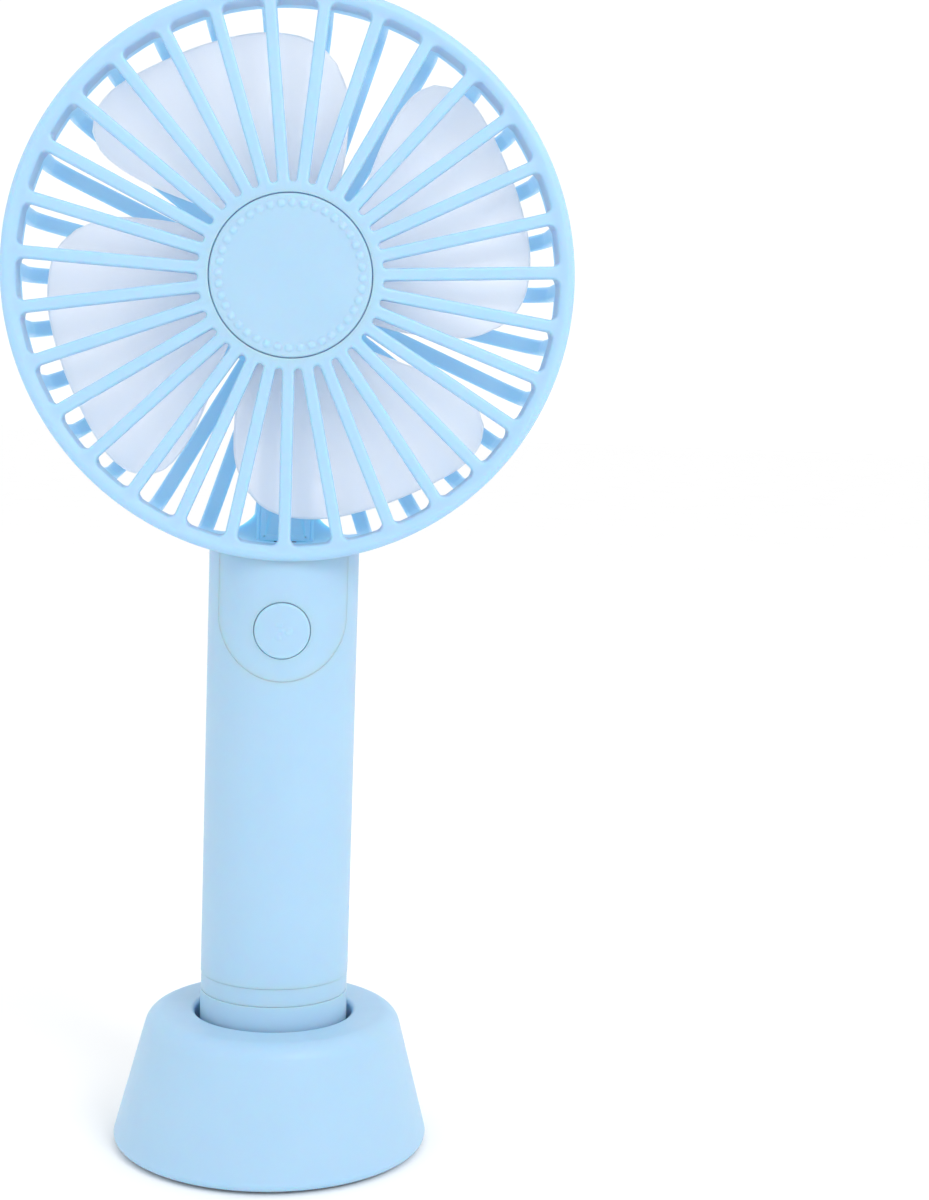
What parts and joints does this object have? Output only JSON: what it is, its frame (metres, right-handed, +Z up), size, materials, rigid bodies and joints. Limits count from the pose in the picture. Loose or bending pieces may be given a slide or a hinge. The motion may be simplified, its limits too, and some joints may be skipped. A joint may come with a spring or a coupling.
{
  "type": "handheld electric fan",
  "caption": "Round caged handheld electric fan on a straight handle with a push button, standing in a conical desk dock it lifts out of.",
  "frame": {"origin": "centre of the dock's underside, on the surface it stands on", "axes": "+Z up along the handle, -Y the way the fan blows, +X to the right seen from the front"},
  "size_m": [0.102, 0.0596, 0.2145],
  "materials": {
    "shell_plastic": "fine satin moulded",
    "button_plastic": "satin moulded",
    "blade_plastic": "translucent white moulded",
    "hidden_plastic": "as moulded",
    "foot_rubber": "matt",
    "felt": "pressed felt",
    "foam": "closed-cell foam",
    "motor_steel": "zinc plated",
    "shaft_steel": "ground",
    "screw_steel": "zinc plated",
    "magnet": "sintered ferrite",
    "bush_bronze": "sintered bronze",
    "copper": "enamelled copper",
    "nickel": "nickel plated",
    "cell": "nickel plated can",
    "cell_sleeve": "shrink film",
    "board": "solder mask",
    "chip_black": "moulded epoxy",
    "plunger": "as moulded",
    "socket_steel": "nickel plated",
    "led": "clear epoxy over phosphor",
    "lens": "clear moulded",
    "lead_red": "smooth PVC",
    "lead_black": "smooth PVC"
  },
  "bodies": {
    "dock": {"dock_shell": "shell_plastic", "dock_base_plate": "hidden_plastic", "dock_screws": "screw_steel", "dock_foot_pad": "foot_rubber"},
    "felt_disc": {"socket_pad": "felt"},
    "fan": {"battery_cell": "cell", "battery_foam": "foam", "battery_insulator": "cell_sleeve", "battery_lead_negative": "lead_black", "battery_lead_positive": "lead_red", "battery_positive_cap": "nickel", "battery_sleeve": "cell_sleeve", "battery_tab_negative": "nickel", "battery_tab_positive": "nickel", "board_carrier": "hidden_plastic", "board_passives": "chip_black", "board_screws": "screw_steel", "button_panel": "shell_plastic", "centre_cap": "shell_plastic", "charge_chip": "chip_black", "circuit_board": "board", "control_chip": "chip_black", "end_cap": "shell_plastic", "end_ring": "shell_plastic", "front_grille": "shell_plastic", "handle_screw": "screw_steel", "handle_tube": "shell_plastic", "indicator_led": "led", "indicator_lens": "lens", "motor_brushes": "copper", "motor_can": "motor_steel", "motor_cover": "shell_plastic", "motor_end_bell": "hidden_plastic", "motor_front_bush": "bush_bronze", "motor_lead_negative": "lead_black", "motor_lead_positive": "lead_red", "motor_magnets": "magnet", "motor_rear_bush": "bush_bronze", "motor_screws": "screw_steel", "motor_terminals": "nickel", "rear_grille": "shell_plastic", "spine_cover": "shell_plastic", "switch_housing": "chip_black", "usb_socket_shell": "socket_steel", "usb_socket_tongue": "chip_black"},
    "rotor": {"impeller": "blade_plastic", "motor_shaft": "shaft_steel", "rotor_core": "motor_steel", "rotor_windings": "copper", "commutator": "copper"},
    "button": {"power_button": "button_plastic", "switch_plunger": "plunger"}
  },
  "joints": [
    {"name": "fan_swivel", "type": "hinge", "parent": "dock", "child": "felt_disc", "pos_m": [0, 0, 0.0043], "axis": [0, 0, 1], "continuous": true},
    {"name": "fan_lift", "type": "slide", "parent": "felt_disc", "child": "fan", "axis": [0, 0, 1], "range_m": [0, 0.03]},
    {"name": "impeller_spin", "type": "hinge", "parent": "fan", "child": "rotor", "pos_m": [0, 0, 0.1635], "axis": [0, -1, 0], "continuous": true},
    {"name": "power_button_press", "type": "slide", "parent": "fan", "child": "button", "axis": [0, 1, 0], "range_m": [0, 0.0006], "stiffness_N_per_m": 1500}
  ]
}
